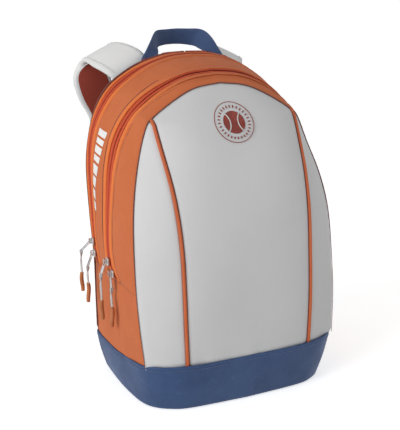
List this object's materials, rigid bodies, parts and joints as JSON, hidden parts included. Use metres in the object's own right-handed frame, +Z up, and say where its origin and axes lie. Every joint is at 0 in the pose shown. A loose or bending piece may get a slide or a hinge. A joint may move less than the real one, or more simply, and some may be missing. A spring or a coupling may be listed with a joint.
{
  "type": "racket backpack",
  "caption": "Arched two-compartment racket backpack with zips over the top, crowned front panel, coated base, carry handle and shoulder straps",
  "frame": {"origin": "middle of the flat underside of the base, which stands on the ground", "axes": "+Z up along the bag, -Y out of the front panel, +Y towards the wearer, +X to the right seen from the front"},
  "size_m": [0.3081, 0.2668, 0.4564],
  "materials": {
    "orange_fabric": "plain-woven polyester, matt",
    "white_fabric": "off-white coated polyester with a fine weave, satin",
    "navy_coated_fabric": "coated fabric with a fine leather-like grain, satin",
    "navy_webbing": "woven polyester webbing and binding",
    "navy_mesh": "padded spacer mesh",
    "clay_piping": "fabric-covered piping",
    "dark_piping": "thin covered piping in the front and back seams",
    "clay_thread": "embroidery thread",
    "clay_lining": "thin lining cloth",
    "zip_tape": "woven zip tape with a nylon coil",
    "stiffener_board": "plain board",
    "navy_plastic": "moulded acetal",
    "zip_metal": "nickel-plated zinc",
    "white_cord": "braided cord",
    "clay_grip": "soft moulded sleeve"
  },
  "bodies": {
    "bag": {"adjuster_webbing_left": "navy_webbing", "adjuster_webbing_right": "navy_webbing", "anchor_tab_left": "navy_coated_fabric", "anchor_tab_right": "navy_coated_fabric", "back_gusset": "orange_fabric", "back_pad_left": "navy_mesh", "back_pad_right": "navy_mesh", "back_panel": "navy_mesh", "back_seam_binding": "dark_piping", "base_board": "stiffener_board", "base_shell": "navy_coated_fabric", "divider_lower": "clay_lining", "front_centre_lower": "white_fabric", "front_wedge_left_lower": "white_fabric", "front_wedge_right_lower": "white_fabric", "main_zip_rear_half": "zip_tape", "panel_piping_left_lower": "clay_piping", "panel_piping_right_lower": "clay_piping", "seam_piping_left_lower": "dark_piping", "seam_piping_right_lower": "dark_piping", "side_panel_left": "orange_fabric", "side_panel_right": "orange_fabric"},
    "main_flap": {"middle_gusset": "orange_fabric", "main_zip_front_half": "zip_tape", "front_zip_rear_half": "zip_tape", "divider_upper": "clay_lining"},
    "front_flap": {"front_badge": "clay_thread", "front_centre_upper": "white_fabric", "front_gusset": "orange_fabric", "front_wedge_left_upper": "white_fabric", "front_wedge_right_upper": "white_fabric", "front_zip_front_half": "zip_tape", "panel_piping_left_upper": "clay_piping", "panel_piping_right_upper": "clay_piping", "seam_piping_upper": "dark_piping"},
    "handle": {"carry_handle": "navy_webbing"},
    "strap_left": {"shoulder_strap_left": "white_fabric"},
    "buckle_left": {"ladder_lock_left": "navy_plastic", "webbing_tail_left": "navy_webbing"},
    "strap_right": {"shoulder_strap_right": "white_fabric"},
    "buckle_right": {"ladder_lock_right": "navy_plastic", "webbing_tail_right": "navy_webbing"},
    "slider_main_a": {"slider_main_a": "zip_metal"},
    "puller_main_a": {"puller_main_a": "zip_metal"},
    "pull_main_a": {"pull_cord_main_a": "white_cord", "pull_grip_main_a": "clay_grip"},
    "slider_main_b": {"slider_main_b": "zip_metal"},
    "puller_main_b": {"puller_main_b": "zip_metal"},
    "pull_main_b": {"pull_cord_main_b": "white_cord", "pull_grip_main_b": "clay_grip"},
    "slider_front_a": {"slider_front_a": "zip_metal"},
    "puller_front_a": {"puller_front_a": "zip_metal"},
    "pull_front_a": {"pull_cord_front_a": "white_cord", "pull_grip_front_a": "clay_grip"},
    "slider_front_b": {"slider_front_b": "zip_metal"},
    "puller_front_b": {"puller_front_b": "zip_metal"},
    "pull_front_b": {"pull_cord_front_b": "white_cord", "pull_grip_front_b": "clay_grip"}
  },
  "joints": [
    {"name": "main_compartment_opening", "type": "hinge", "parent": "bag", "child": "main_flap", "pos_m": [0, -0.08, 0.158], "axis": [1, 0, 0], "range_deg": [0, 20]},
    {"name": "front_compartment_opening", "type": "hinge", "parent": "main_flap", "child": "front_flap", "pos_m": [0, -0.078, 0.166], "axis": [1, 0, 0], "range_deg": [0, 20]},
    {"name": "handle_fold", "type": "hinge", "parent": "bag", "child": "handle", "pos_m": [0, 0.1215, 0.415], "axis": [1, 0, 0], "range_deg": [-8, 16]},
    {"name": "strap_left_swing", "type": "hinge", "parent": "bag", "child": "strap_left", "pos_m": [-0.071, 0.127, 0.42], "axis": [1, 0, 0], "range_deg": [0, 15]},
    {"name": "ladder_lock_left_tilt", "type": "hinge", "parent": "strap_left", "child": "buckle_left", "pos_m": [-0.083, 0.149, 0.159], "axis": [1, 0, 0], "range_deg": [0, 30]},
    {"name": "strap_right_swing", "type": "hinge", "parent": "bag", "child": "strap_right", "pos_m": [0.071, 0.127, 0.42], "axis": [1, 0, 0], "range_deg": [0, 15]},
    {"name": "ladder_lock_right_tilt", "type": "hinge", "parent": "strap_right", "child": "buckle_right", "pos_m": [0.083, 0.149, 0.159], "axis": [1, 0, 0], "range_deg": [0, 30]},
    {"name": "slider_main_a_travel", "type": "slide", "parent": "bag", "child": "slider_main_a", "axis": [-0.0477, 0.013, 0.9988], "range_m": [0, 0.075]},
    {"name": "puller_main_a_swing", "type": "hinge", "parent": "slider_main_a", "child": "puller_main_a", "pos_m": [-0.14763, 0.09903, 0.185], "axis": [0, 1, 0], "range_deg": [0, 100]},
    {"name": "pull_main_a_swing", "type": "hinge", "parent": "puller_main_a", "child": "pull_main_a", "pos_m": [-0.15924, 0.1049, 0.17116], "axis": [0, 1, 0], "range_deg": [0, 50]},
    {"name": "slider_main_b_travel", "type": "slide", "parent": "bag", "child": "slider_main_b", "axis": [-0.0494, 0.1761, 0.9831], "range_m": [0, 0.0225]},
    {"name": "puller_main_b_swing", "type": "hinge", "parent": "slider_main_b", "child": "puller_main_b", "pos_m": [-0.14677, 0.09572, 0.169], "axis": [0, 1, 0], "range_deg": [0, 80]},
    {"name": "pull_main_b_swing", "type": "hinge", "parent": "puller_main_b", "child": "pull_main_b", "pos_m": [-0.15498, 0.09242, 0.15218], "axis": [0, 1, 0], "range_deg": [0, 50]},
    {"name": "slider_front_a_travel", "type": "slide", "parent": "main_flap", "child": "slider_front_a", "axis": [0.0346, 0.1053, 0.9938], "range_m": [0, 0.075]},
    {"name": "puller_front_a_swing", "type": "hinge", "parent": "slider_front_a", "child": "puller_front_a", "pos_m": [-0.15103, 0.03417, 0.176], "axis": [0, 1, 0], "range_deg": [0, 110]},
    {"name": "pull_front_a_swing", "type": "hinge", "parent": "puller_front_a", "child": "pull_front_a", "pos_m": [-0.15584, 0.03812, 0.15805], "axis": [0, 1, 0], "range_deg": [0, 50]},
    {"name": "slider_front_b_travel", "type": "slide", "parent": "main_flap", "child": "slider_front_b", "axis": [-0.0812, 0.6189, 0.7813], "range_m": [0, 0.0225]},
    {"name": "puller_front_b_swing", "type": "hinge", "parent": "slider_front_b", "child": "puller_front_b", "pos_m": [-0.14927, 0.0225, 0.163], "axis": [0, 1, 0], "range_deg": [0, 90]},
    {"name": "pull_front_b_swing", "type": "hinge", "parent": "puller_front_b", "child": "pull_front_b", "pos_m": [-0.14927, 0.01855, 0.14441], "axis": [0, 1, 0], "range_deg": [0, 50]}
  ],
  "couplings": [
    {"joint": "slider_main_b_travel", "follows": "slider_main_a_travel", "ratio": 0.3},
    {"joint": "slider_front_b_travel", "follows": "slider_front_a_travel", "ratio": 0.3}
  ]
}
